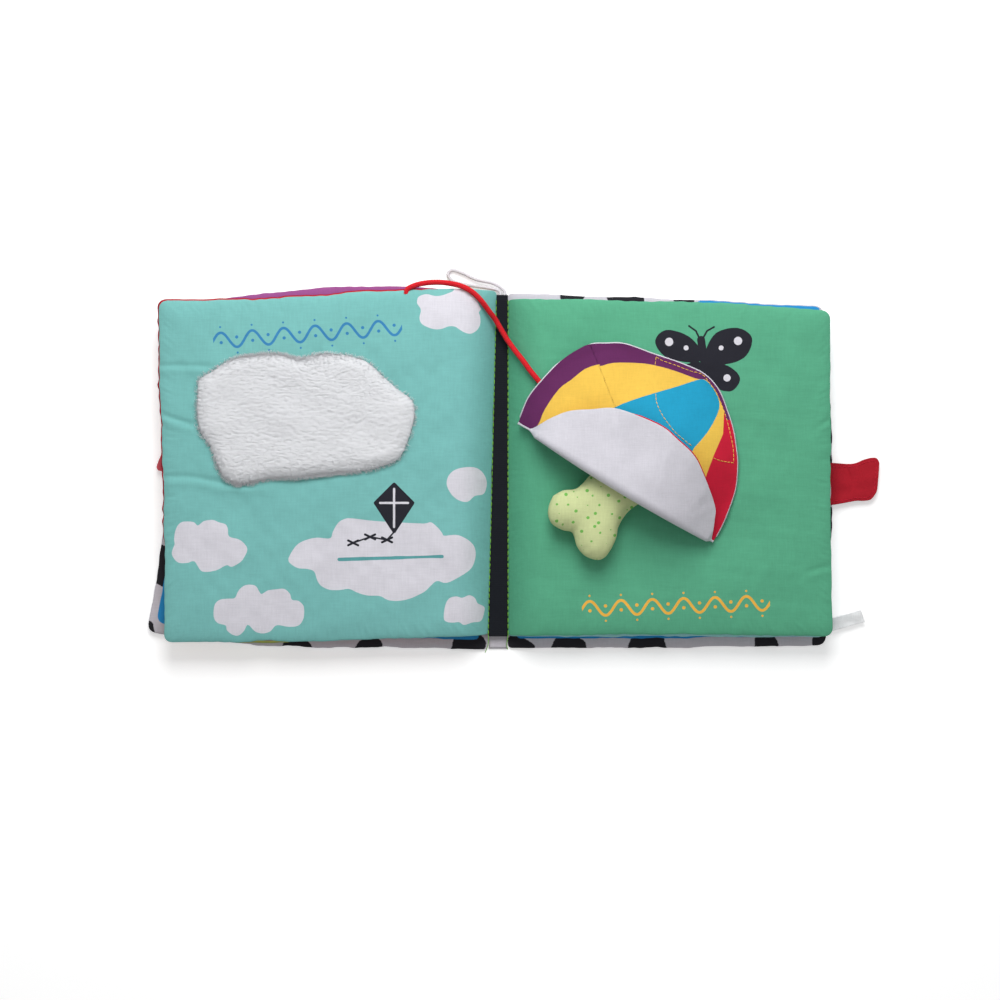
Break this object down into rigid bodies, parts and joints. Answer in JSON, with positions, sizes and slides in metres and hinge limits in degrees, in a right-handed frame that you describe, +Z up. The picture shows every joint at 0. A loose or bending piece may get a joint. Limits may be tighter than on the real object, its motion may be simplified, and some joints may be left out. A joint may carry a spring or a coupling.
{
  "type": "cloth activity book",
  "caption": "Padded cloth activity book lying open, with a fleece cloud patch, a folded round flap over a tethered stuffed bone, and a cloth closing tab.",
  "frame": {"origin": "on the table, under the middle of the spine strip", "axes": "+X along the open book from the left half to the right half, +Y from the bottom to the top of the pages, +Z up out of the pages"},
  "size_m": [0.4012, 0.2124, 0.0503],
  "materials": {
    "cover_print": "soft white cotton print with dark irregular spots",
    "cover_lining_cloth": "soft blue cotton with a spotted border",
    "wadding": "loose polyester wadding",
    "purple_cloth": "soft purple cotton",
    "lime_cloth": "soft yellow-green cotton",
    "red_cloth": "soft red cotton",
    "sky_print": "soft teal cotton with printed clouds",
    "pale_teal_cloth": "soft pale teal cotton",
    "green_print": "soft green cotton print",
    "fleece": "white curly fleece pile",
    "ball_print": "soft cotton with coloured panels",
    "white_cloth": "smooth white cotton",
    "bone_print": "soft pale green cotton with small dots",
    "navy_tape": "ribbed woven tape",
    "navy_cloth": "dark woven cloth",
    "green_thread": "twisted sewing thread",
    "red_cord": "round braided cord",
    "white_cord": "thin round cord",
    "label_ribbon": "smooth white ribbon"
  },
  "bodies": {
    "spine": {"cover_spine": "cover_print", "spine_binding": "navy_cloth", "gutter_tape": "navy_tape", "stitch_line_left": "green_thread", "stitch_line_right": "green_thread", "hanging_loop": "white_cord", "cord_spine": "red_cord"},
    "left_half": {"left_cover_outer": "cover_print", "left_cover_wadding": "wadding", "left_cover_lining": "cover_lining_cloth", "purple_leaf_back": "lime_cloth", "purple_leaf_wadding": "wadding", "purple_leaf_face": "purple_cloth", "sky_leaf_back": "red_cloth", "sky_leaf_wadding": "wadding", "sky_leaf_face": "sky_print", "fleece_cloud": "fleece", "closure_patch": "red_cloth", "cord_left": "red_cord"},
    "right_half": {"right_cover_outer": "cover_print", "right_cover_wadding": "wadding", "right_cover_lining": "cover_lining_cloth", "inner_leaf_back": "pale_teal_cloth", "inner_leaf_wadding": "wadding", "inner_leaf_face": "pale_teal_cloth", "ball_leaf_back": "purple_cloth", "ball_leaf_wadding": "wadding", "ball_leaf_face": "green_print", "ball_front": "ball_print", "ball_lining": "white_cloth", "bone": "bone_print", "closure_tab": "red_cloth", "tab_fastener": "navy_cloth", "care_label": "label_ribbon", "cord_right": "red_cord"}
  },
  "joints": [
    {"name": "left_half_hinge", "type": "hinge", "parent": "spine", "child": "left_half", "pos_m": [-0.00356, 0, 0.015], "axis": [0.0242, 0.9997, 0], "range_deg": [0, 66]},
    {"name": "right_half_hinge", "type": "hinge", "parent": "spine", "child": "right_half", "pos_m": [0.0047, 0, 0.015], "axis": [0, -1, 0], "range_deg": [0, 66]}
  ]
}
